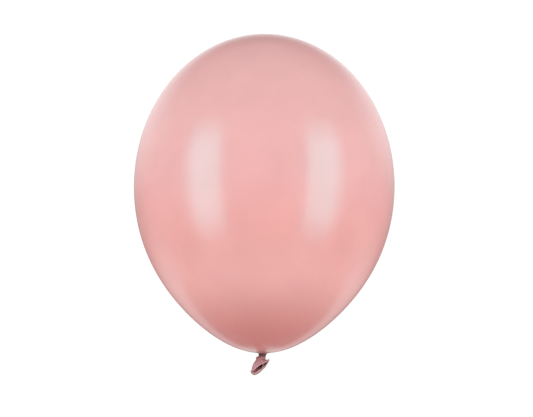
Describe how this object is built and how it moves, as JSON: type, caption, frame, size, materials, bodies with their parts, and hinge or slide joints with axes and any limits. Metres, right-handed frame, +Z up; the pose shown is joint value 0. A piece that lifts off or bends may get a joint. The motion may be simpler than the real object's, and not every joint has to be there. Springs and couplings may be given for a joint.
{
  "type": "latex balloon",
  "caption": "Inflated and knotted latex party balloon: pear-shaped envelope, gathered throat, overhand knot and a short flared tail with a rolled lip.",
  "frame": {"origin": "middle of the throat, on the balloon's axis, where a ribbon or clip grips between the envelope and the knot", "axes": "+Z up the balloon's axis to the crown; +X along the level part of the mouth's wide direction; the mouth of the tail faces -Y and down"},
  "size_m": [0.2999, 0.3, 0.3976],
  "materials": {
    "stretched_film": "satin pearly pink film, stretched thin",
    "gathered_film": "deeper rose, unstretched and pleated",
    "knot_latex": "deeper rose, satin",
    "sleeve_latex": "dusty rose, satin",
    "lip_latex": "dusty rose, satin, rolled bead"
  },
  "bodies": {
    "neck": {"throat": "gathered_film", "knot_loop": "knot_latex", "knot_tuck": "knot_latex"},
    "collar": {"neck_pucker": "gathered_film"},
    "balloon": {"envelope": "stretched_film"},
    "tail": {"tail_sleeve": "sleeve_latex", "rolled_lip": "lip_latex"}
  },
  "joints": [
    {"name": "neck_twist", "type": "hinge", "parent": "neck", "child": "collar", "pos_m": [0, 0, 0.0029], "axis": [0, 0, 1], "range_deg": [-90, 90], "stiffness_Nm_per_rad": 0.02},
    {"name": "neck_lean", "type": "hinge", "parent": "collar", "child": "balloon", "pos_m": [0, 0, 0.0051], "axis": [0, 1, 0], "range_deg": [-25, 25], "stiffness_Nm_per_rad": 0.06},
    {"name": "tail_swing", "type": "hinge", "parent": "neck", "child": "tail", "pos_m": [0, 0, -0.0077], "axis": [0, 1, 0], "range_deg": [-8, 45], "stiffness_Nm_per_rad": 0.004}
  ]
}
